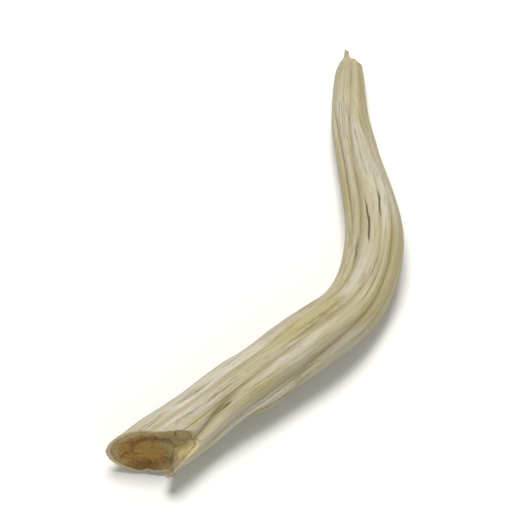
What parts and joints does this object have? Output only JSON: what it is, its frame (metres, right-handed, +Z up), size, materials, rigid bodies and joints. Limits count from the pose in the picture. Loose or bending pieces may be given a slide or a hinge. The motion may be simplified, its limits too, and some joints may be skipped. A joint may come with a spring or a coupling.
{
  "type": "dried shatavari root",
  "caption": "Slender dried root in one piece: a bent, furrowed, tapering stick with a slanting knife-cut end and a small snapped tip, lying flat.",
  "frame": {"origin": "on the surface the root lies on, under the middle of the root's outline", "axes": "+Z up from the surface, +Y from the cut end towards the tip along the root's longer extent, +X to the side the bend bulges out to"},
  "size_m": [0.0236, 0.0398, 0.0056],
  "materials": {
    "dried_root": "dry, peeled root flesh, pale cream on the ridges and tan in the furrows, faintly waxy"
  },
  "bodies": {
    "root": {"root": "dried_root"}
  },
  "joints": []
}
